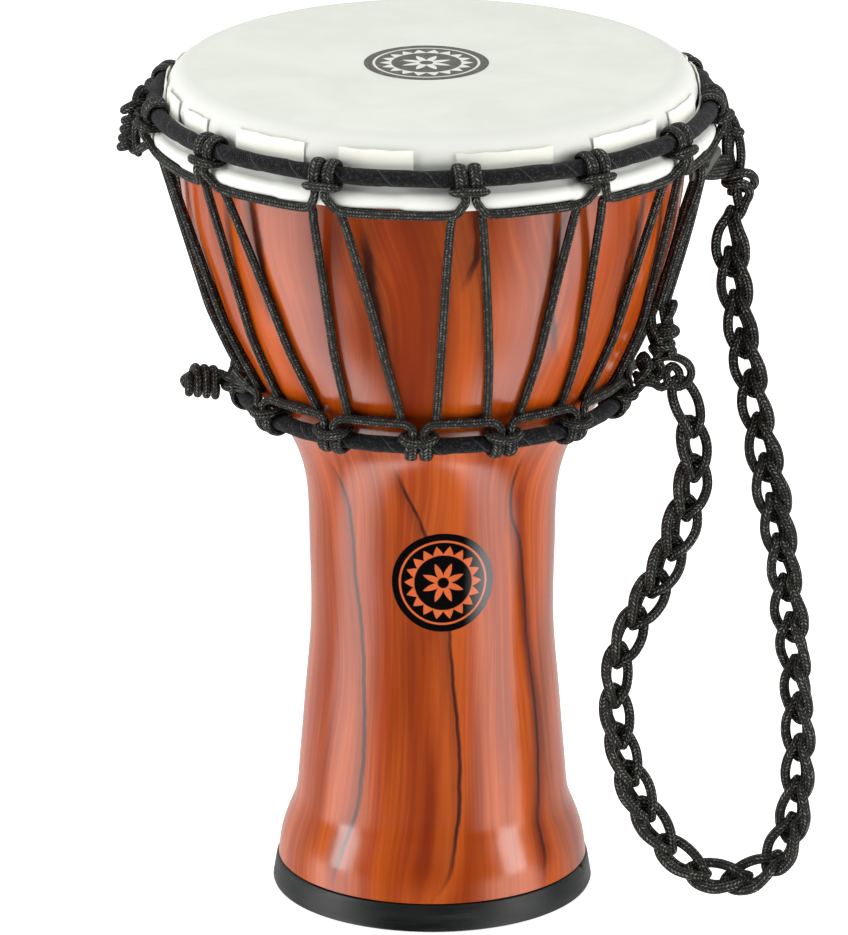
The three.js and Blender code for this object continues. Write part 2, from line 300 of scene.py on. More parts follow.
BITE_START = 3.6  # a rope this far off a ring's tape, to its middle, isn't flattened yet
BITE_FADE = 1.6
FLATTEN = 0.24
SPREAD = 0.34
BLUNT_ENDS = (0.55, 0.88)  # how wide a rope is at its last ring of corners, and at the one before


def strand(points, radius=ROPE, step=0.8, sides=12, rings=(), wall=None, grip=1.0):
    """A rope along a curve through the points. It flattens where it bears on a ring."""
    line = smooth(points, step)
    tangents, normals = transported(line)
    others = np.cross(tangents, normals)
    circumference = 2 * math.pi * radius
    along = lengths(line)
    turn = np.linspace(0, 2 * math.pi, sides, endpoint=False)
    offset = radius * (
        np.cos(turn)[None, :, None] * normals[:, None] + np.sin(turn)[None, :, None] * others[:, None]
    )
    if rings:
        distance, away = from_rings(line, rings)
        pressed = np.clip((TAPE_RADIUS + BITE_START - distance) / BITE_FADE, 0, 1) * grip
        away = squared(away, tangents)
        outward = (offset * away[:, None]).sum(2)[..., None] * away[:, None]
        sideways = offset - outward
        squeeze = pressed[:, None, None]
        offset = outward * (1 - FLATTEN * squeeze) + sideways * (1 + SPREAD * squeeze)
    blunt = np.ones(len(line))
    blunt[[0, -1]], blunt[[1, -2]] = BLUNT_ENDS
    points = line[:, None] + offset * blunt[:, None, None]
    shape = points.shape
    if rings or wall is not None:
        points = kept_off(points.reshape(-1, 3), rings, wall).reshape(shape)
    uv = uv_grid(along / circumference, np.linspace(0, 1, sides + 1))
    return grid(points, uv, True, ends=(0, len(line) - 1))


# ---------------------------------------------------------------- materials


def srgb(red, green, blue):
    """A linear colour from the 0 to 255 values a screen shows."""
    def linear(c):
        c /= 255
        return c / 12.92 if c <= 0.04045 else ((c + 0.055) / 1.055) ** 2.4
    return (linear(red), linear(green), linear(blue), 1.0)


class Value:
    """An output socket that arithmetic can be done on; each operation adds a math node."""

    def __init__(self, graph, socket):
        self.graph = graph
        self.socket = socket

    def __add__(self, other):
        return self.graph.math("ADD", self, other)

    def __sub__(self, other):
        return self.graph.math("SUBTRACT", self, other)

    def __rsub__(self, other):
        return self.graph.math("SUBTRACT", other, self)

    def __mul__(self, other):
        return self.graph.math("MULTIPLY", self, other)

    def __truediv__(self, other):
        return self.graph.math("DIVIDE", self, other)

    def __abs__(self):
        return self.graph.math("ABSOLUTE", self)


class Graph:
    """A node tree filled by short calls that return values."""

    def __init__(self, tree):
        self.tree = tree

    def put(self, socket, value):
        if isinstance(value, Value):
            self.tree.links.new(value.socket, socket)
        else:
            socket.default_value = value

    def node(self, kind, **settings):
        made = self.tree.nodes.new("ShaderNode" + kind)
        for key, value in settings.items():
            setattr(made, key, value)
        return made

    def made(self, kind, values, output=0, **settings):
        """A new node's output, with values put into its first sockets."""
        node = self.node(kind, **settings)
        for socket, value in zip(node.inputs, values):
            self.put(socket, value)
        return Value(self, node.outputs[output])

    def math(self, operation, *values, clamp=False):
        return self.made("Math", values, operation=operation, use_clamp=clamp)

    def vector(self, x, y, z):
        return self.made("CombineXYZ", (x, y, z))

    def coordinates(self, which):
        split = self.node("SeparateXYZ")
        self.tree.links.new(self.node("TexCoord").outputs[which], split.inputs[0])
        return [Value(self, socket) for socket in split.outputs]

    def across(self, x, y):
        """The distance of (x, y) from the middle."""
        return self.math("SQRT", x * x + y * y)

    def noise(self, vector, scale, detail=3, roughness=0.55, distortion=0.0):
        node = self.node("TexNoise")
        values = {"Vector": vector, "Scale": scale, "Detail": detail}
        values.update({"Roughness": roughness, "Distortion": distortion})
        for key, value in values.items():
            self.put(node.inputs[key], value)
        return Value(self, node.outputs["Fac"])

    def range(self, value, low, high, to_low=0.0, to_high=1.0):
        """A smooth step from to_low, where value is low, to to_high, where it is high."""
        sockets = (value, low, high, to_low, to_high)
        return self.made("MapRange", sockets, interpolation_type="SMOOTHSTEP")

    def mix(self, factor, first, second):
        node = self.node("Mix", data_type="RGBA")
        for index, value in ((0, factor), (6, first), (7, second)):
            self.put(node.inputs[index], value)
        return Value(self, node.outputs[2])

    def tint(self, colour, value, low, high, shade, amount):
        """The colour with an amount of shade mixed in, more of it as value goes from low to high."""
        return self.mix(self.range(value, low, high, 0.0, amount), colour, srgb(*shade))

    def bump(self, height, distance, strength=1.0, under=None):
        """A normal bent by height, which is distance millimetres high, on top of the normal under."""
        node = self.node("Bump")
        node.inputs["Distance"].default_value = distance * MM
        node.inputs["Strength"].default_value = strength
        self.put(node.inputs["Height"], height)
        if under is not None:
            self.put(node.inputs["Normal"], under)
        return Value(self, node.outputs["Normal"])


class Material(Graph):
    """A material with one Principled shader; keywords name its sockets, with _ for a space."""

    def __init__(self, name, **fixed):
        self.material = bpy.data.materials.new(name)
        self.material.use_nodes = True
        super().__init__(self.material.node_tree)
        self.shader = self.tree.nodes["Principled BSDF"]
        self.finish(**fixed)

    def finish(self, **values):
        for socket, value in values.items():
            self.put(self.shader.inputs[socket.replace("_", " ")], value)
        return self.material


# The shell's print: each dark vein is a line of (angle, height) points with a width in degrees.
VEINS = [
    (2.0, [(-50, 165), (-42, 150), (-38, 120), (-34, 90), (-32, 50), (-38, 25), (-41, 10)]),
    (1.7, [(-17, 168), (-12, 155), (-4, 140), (6, 115), (9, 90), (12, 50), (8, 25), (-2, 10)]),
    (1.9, [(38, 168), (37, 150), (45, 130), (50, 100), (54, 60), (50, 30), (46, 10)]),
    (2.2, [(-46, 272), (-43, 245), (-45, 215)]), (2.2, [(-16, 262), (-13, 225), (-11, 192)]),
    (1.6, [(7, 275), (10, 255), (6, 235)]), (1.8, [(33, 272), (29, 240), (34, 205)]),
    (1.8, [(55, 262), (52, 225), (57, 195)]), (2, [(95, 270), (92, 210), (99, 120), (93, 40)]),
    (2.2, [(140, 250), (146, 180), (138, 90), (143, 20)]),
    (2.0, [(-150, 270), (-146, 200), (-152, 110), (-148, 30)]),
    (2.2, [(-100, 268), (-106, 200), (-98, 130), (-104, 25)]),
]

# Broad darker bands of the print, in the same form.
BANDS = [
    (9, [(-4, 116), (-6, 80), (-3, 45), (-6, 9)]), (7, [(-5, 280), (-4, 240), (-6, 205), (-8, 172)]),
    (6, [(-24, 268), (-27, 230), (-25, 190)]),
    (5, [(40, 160), (44, 130), (50, 100), (55, 60), (51, 30), (47, 9)]),
    (8, [(118, 280), (124, 190), (116, 100), (121, 9)]),
    (8, [(-124, 280), (-119, 190), (-126, 100), (-121, 9)]),
    (8, [(176, 280), (170, 190), (178, 100), (172, 9)]),
]


def along_line(graph, angle, height, line):
    """(degrees past the line, how far inside the line's ends from 0 to 1) at a point."""
    curve = graph.node("FloatCurve")
    low, high = line[-1][1], line[0][1]
    middle_angle = sum(a for a, _ in line) / len(line)
    reach = 20.0
    share = graph.made("MapRange", (height, low, high, 0.0, 1.0), clamp=True)
    graph.put(curve.inputs["Value"], share)
    points = curve.mapping.curves[0].points
    while len(points) < len(line):
        points.new(0.5, 0.5)
    for point, (a, z) in zip(points, reversed(line)):
        point.location = ((z - low) / (high - low), 0.5 + (a - middle_angle) / (2 * reach))
        point.handle_type = "AUTO"
    curve.mapping.update()
    offset = Value(graph, curve.outputs[0]) * (2 * reach) + middle_angle - reach
    away = angle - offset
    lower = graph.range(height, low - 2, low + 14)
    return away, lower * graph.range(height, high - 14, high + 2, 1.0, 0.0)


def vein(graph, angle, height, width, line):
    """How much a point is in one vein, from 0 to 1: a sharp ridge with a soft shade on one side."""
    away, inside = along_line(graph, angle, height, line)
    ridge = graph.range(abs(away), 0.2 * width, 0.9 * width, 1.0, 0.0)
    shade = graph.range(away, -4.5 * width, 0.0, 0.0, 0.42)
    shade = shade * graph.range(away, 0.0, width, 1.0, 0.0)
    return graph.math("MAXIMUM", ridge, shade) * inside


def band(graph, angle, height, width, line):
    """How much a point is in one band, from 0 to 1."""
    away, inside = along_line(graph, angle, height, line)
    return graph.range(abs(away), 0.2 * width, 1.3 * width, 1.0, 0.0) * inside


def shell_material():
    """A glossy moulding with a printed wood grain that runs up the drum."""
    g = Material("shell_print", Roughness=0.27, Specular_IOR_Level=0.55)
    x, y, z = g.coordinates("Object")
    height = z * 1000.0
    radius = g.across(x, y)
    round_x = x / radius
    round_y = y / radius
    bend = g.noise(g.vector(round_x, round_y, height * 0.007), 1.3, 1)
    sway = bend * 0.44 - 0.22
    grain_x = round_x + sway * round_y
    grain_y = round_y - sway * round_x

    def streaks(scale, stretch, detail=3):
        rise = height * (stretch / scale)
        return g.noise(g.vector(grain_x, grain_y, rise), scale, detail, 0.5)

    broad, middling, fine = streaks(3.4, 0.006, 2), streaks(12, 0.009, 2), streaks(46, 0.022, 2)
    colour = g.mix(g.range(broad, 0.36, 0.62), srgb(138, 50, 0), srgb(178, 77, 16))
    colour = g.tint(colour, middling, 0.44, 0.68, (156, 62, 0), 0.7)
    redder = streaks(8.5, 0.006, 2)
    colour = g.tint(colour, redder, 0.52, 0.72, (156, 52, 14), 0.6)
    colour = g.tint(colour, fine, 0.50, 0.74, (106, 36, 3), 0.32)
    colour = g.tint(colour, fine, 0.50, 0.28, (198, 102, 32), 0.22)
    angle = g.math("ARCTAN2", x, y * -1.0) * (180 / math.pi)
    wander = g.noise(g.vector(0.0, 0.0, height), 0.07, 2)
    angle = angle + wander * 3.0 - 1.5
    deep = 0.0
    for width, line in BANDS:
        deep = g.math("MAXIMUM", deep, band(g, angle, height, width, line))
    deep = deep * g.range(middling, 0.3, 0.6, 0.65, 1.0)
    colour = g.mix(deep, colour, srgb(122, 38, 0))
    dark = 0.0
    for width, line in VEINS:
        dark = g.math("MAXIMUM", dark, vein(g, angle, height, width, line))
    dark = dark * g.range(streaks(30, 0.02), 0.25, 0.55, 0.7, 0.95)
    colour = g.mix(dark, colour, srgb(58, 26, 20))
    pits = g.noise(g.vector(x, y, z), 900.0, 2)
    normal = g.bump(fine, 0.05, 0.25)
    normal = g.bump(pits, 0.02, 0.3, normal)
    rough = g.range(middling, 0.3, 0.7, 0.19, 0.24)
    return g.finish(Base_Color=colour, Normal=normal, Roughness=rough)


def rope_material():
    """Black braided cord: UV x goes once round, UV y is length over circumference."""
    g = Material("braided_rope", Specular_IOR_Level=0.4)
    u, v, _ = g.coordinates("UV")
    column = u * 8.0
    across = g.math("FRACT", column)
    side = g.math("MODULO", g.math("FLOOR", column), 2.0) * 2.0 - 1.0
    row = v * 9.0 + side * across
    pick = g.math("SINE", g.math("FRACT", row) * math.pi)
    crown = g.math("SINE", across * math.pi)
    height = g.math("POWER", pick, 0.7) * g.math("POWER", crown, 0.5)
    cell = g.vector(g.math("FLOOR", column), g.math("FLOOR", row), 0.0)
    shade = g.node("TexWhiteNoise", noise_dimensions="2D")
    g.put(shade.inputs["Vector"], cell)
    threads = g.noise(g.vector(across * 6.0, row * 1.5, 0.0), 4.0, 2)
    lit = height * (Value(g, shade.outputs["Value"]) * 0.5 + 0.5)
    # Painted shade and painted highlight: the gaps between the picks are coloured near black and the
    # lit crowns of the picks pale grey, in place of the braid's own shading.
    colour = g.mix(g.range(height, 0.45, 0.95), srgb(1, 1, 1), srgb(46, 46, 42))
    colour = g.tint(colour, lit, 0.55, 0.95, (124, 124, 112), 0.9)
    normal = g.bump(height, 0.6, 1.0)
    normal = g.bump(threads, 0.08, 0.5, normal)
    rough = g.range(lit, 0.2, 0.9, 0.68, 0.42)
    return g.finish(Base_Color=colour, Normal=normal, Roughness=rough)


def tape_material():
    """Black twill tape: UV x is degrees round the ring, UV y is millimetres round its section."""
    g = Material("twill_tape", Specular_IOR_Level=0.2, Sheen_Weight=0.06, Sheen_Roughness=0.45)
    u, v, _ = g.coordinates("UV")
    along = u * 1.45
    lean = along * 0.80 + v * 0.60
    cross = along * 0.60 - v * 0.80
    rib = g.math("SINE", (lean + cross * 0.25) * 9.5)
    thread = g.math("SINE", (cross - lean * 0.6) * 14.0)
    weave = thread * 0.35 + rib
    wear = g.noise(g.vector(along, v, 0.0), 0.35, 4)
    # Painted shade and painted highlight: the tape is near black in the weave's troughs and grey on
    # its ribs.
    colour = g.mix(g.range(weave, 0.0, 1.35), srgb(1, 1, 2), srgb(32, 33, 36))
    colour = g.tint(colour, wear, 0.45, 0.75, (40, 40, 44), 0.25)
    loose = g.noise(g.vector(along, v, 0.0), 1.0, 3, 0.7)
    colour = g.tint(colour, loose, 0.52, 0.68, (62, 63, 66), 0.85)
    colour = g.tint(colour, loose, 0.48, 0.34, (2, 2, 3), 0.9)
    lap = g.math("FRACT", lean / 11.0)
    # Painted highlight and painted shadow: a pale stripe just past each lap's edge and a near-black
    # stripe just before it, as light and shade fall on the step.
    colour = g.mix(g.range(lap, 0.0, 0.07, 0.6, 0.0), colour, srgb(72, 73, 76))
    colour = g.tint(colour, lap, 0.93, 1.0, (1, 1, 2), 0.9)
    normal = g.bump(weave, 0.10, 0.7)
    normal = g.bump(loose, 0.18, 0.6, normal)
    return g.finish(Base_Color=colour, Normal=normal, Roughness=g.range(wear, 0.3, 0.7, 0.88, 0.72))


def film_material(name="drum_film", tint=(230, 233, 223), edge=(219, 221, 214), flat_to=79.0):
    """Laminated fibre film: off-white and fibrous on the flat, with painted shade greying it where it
    bends down over the roll.
    """
    g = Material(name, Specular_IOR_Level=0.35, Subsurface_Weight=0.0)
    x, y, z = g.coordinates("Object")
    place = g.vector(x, y, z)
    radius = g.across(x, y) * 1000.0
    cloud = g.noise(place, 28.0, 4, 0.6, 0.4)
    fibre = g.noise(g.vector(x, y * 5.0, z), 160.0, 4, 0.65, 1.2)
    other = g.noise(g.vector(x * 6.0, y, z), 130.0, 4, 0.65, 1.5)
    flecks = g.math("MAXIMUM", g.range(fibre, 0.60, 0.78), g.range(other, 0.60, 0.80))
    colour = g.mix(g.range(cloud, 0.3, 0.7), srgb(*tint), srgb(*[c - 7 for c in tint]))
    colour = g.mix(flecks * 0.35, colour, srgb(240, 241, 232))
    # Painted shade: past flat_to the film is mixed towards the greyer edge colour, to dull the roll
    # where the lamps light it brightly.
    colour = g.mix(g.range(radius, flat_to, flat_to + 6.0), colour, srgb(*edge))
    grain = fibre * 0.6 + other * 0.4
    normal = g.bump(grain, 0.12, 0.45)
    return g.finish(Base_Color=colour, Normal=normal, Roughness=g.range(cloud, 0.3, 0.7, 0.46, 0.60))


def rubber_material():
    """Satin black rubber with moulding lines round it and pale scuffs."""
    g = Material("foot_rubber", Specular_IOR_Level=0.32)
    x, y, z = g.coordinates("Object")
    place = g.vector(x, y, z * 9.0)
    lines = g.noise(g.vector(x * 0.05, y * 0.05, z), 2600.0, 3)
    cloud = g.noise(place, 30.0, 5, 0.65)
    scuff = g.range(cloud, 0.55, 0.78) * g.range(lines, 0.4, 0.65)
    colour = g.mix(g.range(cloud, 0.3, 0.7), srgb(13, 14, 15), srgb(25, 27, 28))
    colour = g.mix(scuff * 0.35, colour, srgb(86, 92, 92))
    normal = g.bump(lines, 0.05, 0.5)
    return g.finish(Base_Color=colour, Normal=normal, Roughness=g.range(cloud, 0.3, 0.7, 0.36, 0.52))


def steel_material():
    """Plain drawn steel rod, inside the tape and the film."""
    g = Material("ring_steel", Metallic=1.0)
    x, y, z = g.coordinates("Object")
    drawn = g.noise(g.vector(x, y, z * 12.0), 240.0, 4)
    colour = g.mix(drawn, srgb(150, 152, 154), srgb(190, 191, 192))
    return g.finish(Base_Color=colour, Roughness=g.range(drawn, 0.3, 0.7, 0.28, 0.45))


def motif(g):
    """A plain ring of triangles round a star, on UV from -1 to 1: 1 is motif, 0 is ground."""
    u, v, _ = g.coordinates("UV")
    radius = g.across(u, v)
    turn = g.math("ARCTAN2", u, v) * (1 / (2 * math.pi))
    tooth = g.math("PINGPONG", turn * 18.0, 0.5)
    star = g.math("PINGPONG", turn * 8.0, 0.5)
    soft = 0.012

    def below(edge):
        return g.range(edge - radius, -soft, soft)

    teeth = below(tooth * 0.34 + 0.58) - below(0.56)
    band = below(0.86) - below(0.82)
    middle_star = below(star * 0.56 + 0.14)
    hole = below(0.11)
    shape = g.math("MAXIMUM", g.math("MAXIMUM", teeth, band), middle_star)
    return g.math("SUBTRACT", shape, hole, clamp=True)


def badge_material():
    """Glossy black sticker with the motif in the shell's orange."""
    g = Material("badge_print", Roughness=0.07, Specular_IOR_Level=0.5)
    g.finish(Coat_Weight=0.6, Coat_Roughness=0.03)
    mark = motif(g)
    x, y, z = g.coordinates("Object")
    ripple = g.noise(g.vector(x, y, z), 90.0, 2)
    streak = g.noise(g.vector(x * 9.0, y, z), 60.0, 3)
    orange = g.mix(streak, srgb(186, 82, 36), srgb(214, 108, 64))
    colour = g.mix(mark, srgb(4, 4, 5), orange)
    normal = g.bump(ripple, 0.06, 0.25)
    return g.finish(Base_Color=colour, Normal=normal)


def print_material():
    """Grey speckled ink on the film, with the motif left in the film's colour."""
    g = Material("head_print", Specular_IOR_Level=0.3)
    mark = motif(g)
    x, y, z = g.coordinates("Object")
    place = g.vector(x, y, z)
    speck = g.noise(place, 1400.0, 4, 0.7)
    cloud = g.noise(place, 220.0, 3)
    ink = g.mix(g.range(speck, 0.42, 0.62), srgb(74, 73, 68), srgb(104, 102, 95))
    ink = g.mix(g.range(cloud, 0.5, 0.8, 0.0, 0.5), ink, srgb(134, 132, 124))
    colour = g.mix(mark, ink, srgb(228, 231, 222))
    normal = g.bump(speck, 0.05, 0.3)
    return g.finish(Base_Color=colour, Normal=normal, Roughness=g.range(speck, 0.3, 0.7, 0.5, 0.65))


def sleeve_material():
    """The grey shrunk sleeve on a rope's end."""
    g = Material("rope_sleeve", Specular_IOR_Level=0.4)
    x, y, z = g.coordinates("Object")
    ribs = g.noise(g.vector(x, y, z * 3.0), 420.0, 3)
    colour = g.mix(ribs, srgb(48, 48, 46), srgb(92, 91, 87))
    normal = g.bump(ribs, 0.2, 0.5)
    return g.finish(Base_Color=colour, Normal=normal, Roughness=g.range(ribs, 0.3, 0.7, 0.4, 0.6))


ROPE_LOOK = rope_material()
TAPE_LOOK = tape_material()
FILM_LOOK = film_material()


def rope_piece(name, parts, node, body=None):
    return piece(name, parts, ROPE_LOOK, (node,), body=body)



# ---------------------------------------------------------------- strap chain

# The chain's middle line, in metres, from the knot under the crown ring round to the base ring.
CHAIN_ROUTE = [
    (0.102, -0.006, 0.2455), (0.1005, -0.007, 0.236), (0.101, -0.009, 0.225), (0.1025, -0.011, 0.213),
    (0.1045, -0.013, 0.201), (0.1075, -0.016, 0.1865), (0.111, -0.019, 0.168), (0.115, -0.023, 0.1465),
    (0.119, -0.027, 0.123), (0.1225, -0.030, 0.099), (0.1245, -0.033, 0.076), (0.125, -0.035, 0.056),
    (0.123, -0.037, 0.034), (0.118, -0.037, 0.021), (0.109, -0.037, 0.0135), (0.099, -0.037, 0.0125),
    (0.089, -0.037, 0.016), (0.080, -0.036, 0.024), (0.072, -0.0345, 0.037), (0.065, -0.033, 0.055),
    (0.0615, -0.031, 0.074), (0.062, -0.029, 0.088), (0.0665, -0.028, 0.100), (0.073, -0.027, 0.112),
    (0.0795, -0.026, 0.125), (0.0845, -0.025, 0.139), (0.0875, -0.024, 0.153), (0.087, -0.024, 0.168),
    (0.084, -0.024, 0.182), (0.0818, -0.0242, 0.1885),
]
CHAIN_ROPE = 1.75  # the rope swells a little where it is not under load
CHAIN_LINKS = 31

# One link of the chain knot: (across, forward, links along) from where its loop comes through
# the loop before it, up the left side to the tip. The right side mirrors it.
LINK_SIDE = [
    (-1.5, -1.6, -0.06), (-1.5, 1.2, 0.10), (-3.5, 2.9, 0.38), (-5, 1.9, 0.80), (-4.1, 0.4, 1.18),
    (-2, -0.3, 1.38),
]
LINK_TIP = (0.0, -0.4, 1.46)
LINK_BACK = [(0.9, -2.9, 0.25), (0.0, -3.3, 0.48), (-0.9, -2.9, 0.70)]


def chain_turn(share):
    """How far the chain is turned about its own line, in degrees, at a share of its length."""
    return -26 + 11 * math.sin(9 * share) + 10 * math.sin(31 * share)


def chain_link_points():
    """The rope's points through every link, in the chain's own (across, forward, links) space."""
    random = np.random.default_rng(7)
    points = []
    for link in range(CHAIN_LINKS):
        wide = random.uniform(0.86, 1.08)
        slide = random.uniform(-0.05, 0.05)
        tilt = random.uniform(-0.05, 0.05)
        side = LINK_SIDE + [LINK_TIP]
        side = side + [(-x, y, s) for x, y, s in reversed(LINK_SIDE)]
        side = [(x * wide, y, s + tilt * x / 5 + slide) for x, y, s in side]
        if link + 1 < CHAIN_LINKS:
            side = side + LINK_BACK
        points += [(x, y, s + link) for x, y, s in side]
    return np.array(points)


def make_strap_chain():
    route = smooth(np.array(CHAIN_ROUTE) / MM, 1.0)
    tangents = unit(np.gradient(route, axis=0))
    knots = chain_link_points()
    at = np.clip((knots[:, 2] + 0.3) / (CHAIN_LINKS + 0.85), 0, 1)
    share = at * (len(route) - 1)

    def between(rows):
        return np.stack([np.interp(share, range(len(rows)), column) for column in rows.T], axis=1)

    place, ahead = between(route), unit(between(tangents))
    front = np.array((0.0, -1.0, 0.0))
    front = unit(front - ahead * (ahead @ front)[:, None])
    right = np.cross(ahead, front)
    turn = np.radians([chain_turn(a) for a in at])[:, None]
    across = np.cos(turn) * right + np.sin(turn) * front
    forward = np.cos(turn) * front - np.sin(turn) * right
    line = place + across * knots[:, :1] + forward * knots[:, 1:2]
    lead = np.array([(102.6, -6.0, 251.5), (102.2, -6.4, 248.5)])
    parts = [strand(np.vstack([lead, line]), radius=CHAIN_ROPE, step=1.0, sides=10)]
    chain = rope_piece("strap_chain_rope", parts, "strap_chain")
    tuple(CHAIN_ROUTE[0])
    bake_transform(chain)


make_strap_chain()

# ---------------------------------------------------------------- shell, foot and badge


def make_shell():
    inside = [(r, z) for z, r, widest in LEVELS if z >= SPIGOT_TOP and widest - r > 1]
    bottom = LEVELS[0]
    outer = smooth(OUTSIDE, 2.5)
    inner = smooth(inside, 4.0)[::-1]
    foot = [(bottom[1], bottom[0]), (bottom[2], bottom[0]), (bottom[2], SPIGOT_TOP)]
    outline = np.vstack([foot, outer, inner])
    piece("goblet_shell", [lathe(outline, 160)], shell_material(), ("shell",), body="drum")


def make_foot():
    """A stretched rubber band with a rounded lip; its join shows as a notch on the right."""
    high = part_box("foot_ring")[1]
    outer, top = high.x / MM, high.z / MM
    inner, lip = 47.0, LEVELS[0][2] + 0.25
    shelf = LEVELS[0][0] - 0.25
    outline = [
        (inner, 0.5), (inner + 0.5, 0), (outer - 1.2, 0), (outer - 0.35, 0.3), (outer, 1.1),
        (outer - 0.5, 4.2), (outer - 1, 7.4), (outer - 1.25, top - 0.9), (outer - 1.5, top - 0.25),
        (outer - 2, top), (lip + 0.45, top), (lip + 0.1, top - 0.2), (lip, top - 0.8), (lip, shelf),
        (inner, shelf),
    ]
    notch_angle = 74.0

    def notch(angle, profile):
        near = math.exp(-(((angle - notch_angle) / 0.9) ** 2))
        lowered = profile.copy()
        upper = np.clip((profile[:, 1] - 0.75 * top) / (0.25 * top), 0, 1)
        lowered[:, 1] -= 1.3 * near * upper
        return lowered

    parts = [lathe(outline, 288, shape=notch)]
    piece("rubber_foot", parts, rubber_material(), ("foot_ring",), body="drum")


def disc(radius, place, rings=14, around=72):
    """A round patch whose points at (x, y) on it are place(x, y), with UV from -1 to 1."""
    corners, faces, coords = [place(0.0, 0.0)], [], []
    flat = [(0.0, 0.0)]
    for i in range(1, rings + 1):
        for j in range(around):
            a = 2 * math.pi * j / around
            x, y = radius * i / rings * math.cos(a), radius * i / rings * math.sin(a)
            corners.append(place(x, y))
            flat.append((x / radius, y / radius))
    for j in range(around):
        k = (j + 1) % around
        faces.append((0, 1 + j, 1 + k))
        for i in range(rings - 1):
            a, b = 1 + i * around, 1 + (i + 1) * around
            faces.append((a + j, b + j, b + k, a + k))
    for f in faces:
        coords += [flat[i] for i in f]
    return np.array(corners), faces, coords


def make_badge():
    lo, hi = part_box("shell_badge")
    centre = middle("shell_badge")
    radius = (hi.z - lo.z) / 2 / MM
    angle = math.degrees(math.atan2(centre[0], -lo.y / MM))
    outer = smooth(OUTSIDE, 1.0)

    def place(x, y):
        z = centre[2] + y
        surface = np.interp(z, outer[:, 1], outer[:, 0]) + 0.12
        return polar(angle + math.degrees(x / surface), surface, z)

    parts = [disc(radius, place)]
    piece("round_badge", parts, badge_material(), ("shell_badge",), body="drum")


make_shell()
make_foot()
make_badge()

# ---------------------------------------------------------------- head

ROLL = 8.6  # radius of the film's roll over the bearing edge
FLAT_RADIUS = 80.5
FILM = 0.65
HOOP_ROD = 2.0
SEAMS = [-158, -121, -88, -62, -33, -6, 29, 47, 74, 104, 137, 165]


def arc(centre, radius, start, stop, count):
    angles = np.radians(np.linspace(start, stop, count))
    return np.stack([centre[0] + radius * np.cos(angles), centre[1] + radius * np.sin(angles)], axis=1)


def hoop():
    lo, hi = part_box("flesh_hoop")
    return hi.x / MM - HOOP_ROD, (lo.z + hi.z) / 2 / MM


def film_line():
    """The film's middle line: over the roll, down the collar, round the hoop and up again."""
    level = HEAD_TOP - FILM / 2
    flat = [(r, level) for r in (0.01, 12, 26, 40, 54, 66, 74, FLAT_RADIUS - 2)]
    roll = arc((FLAT_RADIUS, HEAD_TOP - ROLL), ROLL - FILM / 2, 90, 0, 12)
    radius, height = hoop()
    wrap = arc((radius, height), HOOP_ROD + 0.3 + FILM / 2, 195, 436, 20)
    tail = [(91.9, 273.9), (91.1, 274.9), (90.4, 276.2), (90.05, 278.0), (89.95, 280.0)]
    collar = [(88.3, 280.4), (87.75, 278.4), (87.5, 276.0), (87.9, 273.0)]
    return np.vstack([flat, roll, collar, wrap, tail])


def make_film():
    line = film_line()
    tangent = unit(np.gradient(line, axis=0))
    normal = np.column_stack([-tangent[:, 1], tangent[:, 0]])
    outline = np.vstack([line + normal * FILM / 2, (line - normal * FILM / 2)[::-1]])
    outline[:, 0] = np.maximum(outline[:, 0], 0.01)
    centre = np.array(hoop())

    def uneven(angle, profile):
        """The wrap is a little lumpy, and steps where one pull of film laps the next."""
        profile = profile.copy()
        away = profile - centre
        distance = np.hypot(away[:, 0], away[:, 1])
        on_wrap = np.clip((4.6 - distance) / 1.0, 0, 1) * (profile[:, 0] > centre[0] - 1.2)
        lump = 0.10 * sine(angle * 7) + 0.07 * sine(angle * 17 + 40)
        step = 0.0
        for seam in SEAMS:
            past = (angle - seam) % 360
            if past < 26:
                step += 0.5 * min(1, past / 0.5) * (1 - past / 26)
        profile += unit(away) * ((lump + step) * on_wrap)[:, None]
        roll = np.clip((profile[:, 0] - 84) / 5, 0, 1) * (profile[:, 1] > 279)
        profile[:, 0] += roll * 0.12 * sine(angle * 11 + 25)
        return profile

    parts = [lathe(outline, 450, shape=uneven)]
    piece("head_film", parts, FILM_LOOK, ("drumhead_film",), sharp=60, body="head")


# Cut edge of the film that stands up behind the crown ring: (from, to) angles of each strip.
TABS = [
    (-176, -166), (-163, -146), (-142, -124), (-119, -104), (-98, -85), (-81, -70),
    (-66, -56), (-46, -28), (-20, -4), (5, 26), (36, 55), (61, 77),
    (89, 103), (106, 124), (129, 143), (147, 159), (163, 178),
]


def tab_part(start, stop, lift, lean):
    """One upright strip of cut film, with slightly uneven edges."""
    columns = max(6, int(abs(stop - start) / 1.2))
    heights = np.array([279.0, 281.5, 284.0, 286.3 + lift])
    radii = np.array([89.85, 89.9, 89.75 + 0.3 * lean, 89.3 + 0.55 * lean])
    rows = []
    for side, thickness in ((0, 0.0), (1, 0.42)):
        for k in (range(4) if side == 0 else range(3, -1, -1)):
            row = []
            for j in range(columns + 1):
                angle = start + (stop - start) * j / columns
                wave = 0.16 * math.sin(angle * 0.9 + lift * 9) + 0.10 * math.sin(angle * 2.3)
                z = heights[k] + (wave if k == 3 else 0)
                row.append(polar(angle, radii[k] - thickness + 0.12 * wave, z))
            rows.append(row)
    rows.append(rows[0])
    points = np.array(rows).transpose(1, 0, 2)
    uv = np.zeros((points.shape[0], points.shape[1] + 1, 2))
    uv[..., 0] = np.linspace(start, stop, points.shape[0])[:, None]
    uv[..., 1] = np.arange(points.shape[1] + 1)[None]
    corners, faces, coords = grid(points[:, :-1], uv, True, ends=(0, points.shape[0] - 1))
    return corners, faces, coords


